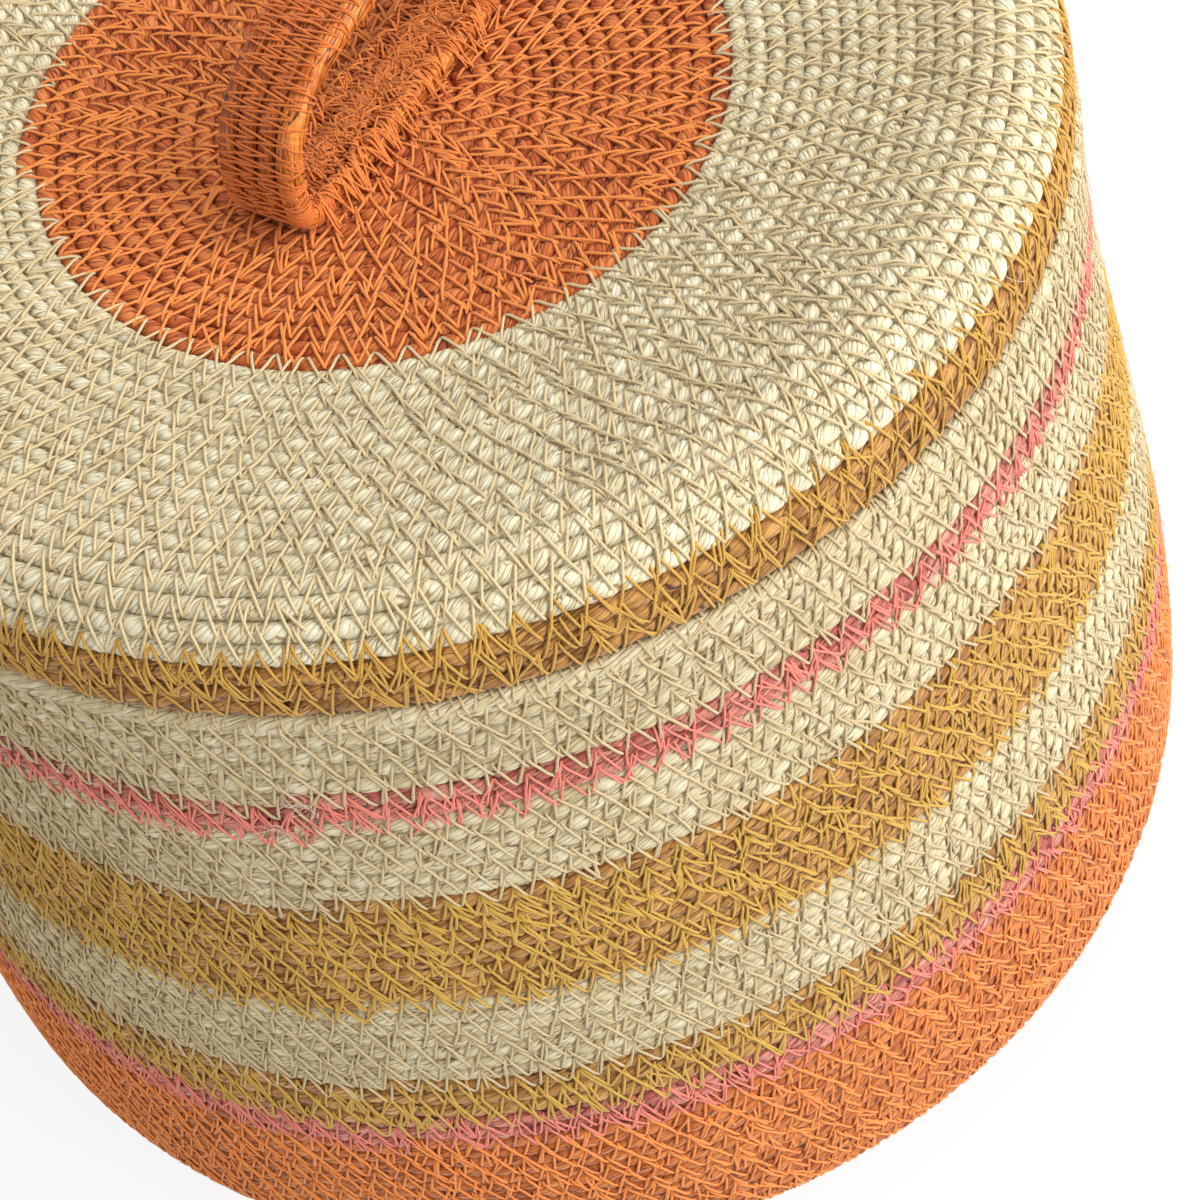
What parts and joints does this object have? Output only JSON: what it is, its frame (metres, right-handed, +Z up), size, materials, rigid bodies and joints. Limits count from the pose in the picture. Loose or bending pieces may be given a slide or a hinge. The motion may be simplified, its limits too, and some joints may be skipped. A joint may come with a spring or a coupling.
{
  "type": "lidded basket",
  "caption": "Round lidded basket of coiled, zig-zag-sewn seagrass cord in coloured stripes, with a strap handle on its dished lid.",
  "frame": {"origin": "middle of the underside, on the surface that the basket stands on", "axes": "+Z up through the middle of the lid; +X along the handle strap; +Y across the strap"},
  "size_m": [0.322, 0.322, 0.2615],
  "materials": {
    "natural": "matte undyed seagrass cord",
    "mustard": "matte mustard-dyed seagrass cord",
    "pink": "matte pink-dyed seagrass cord",
    "orange": "matte orange-dyed seagrass cord"
  },
  "bodies": {
    "basket": {"base_disc": "orange", "orange_wall": "orange", "lower_pink_band": "pink", "narrow_mustard_band": "mustard", "lower_natural_band": "natural", "wide_mustard_band": "mustard", "middle_natural_band": "natural", "upper_pink_band": "pink", "upper_natural_band": "natural", "neck_ring": "natural"},
    "lid": {"lid_centre_disc": "orange", "lid_crown": "natural", "lid_rim_band": "mustard", "handle_strap": "orange"}
  },
  "joints": [
    {"name": "lid_lift", "type": "slide", "parent": "basket", "child": "lid", "axis": [0, 0, 1], "range_m": [0, 0.2]}
  ]
}
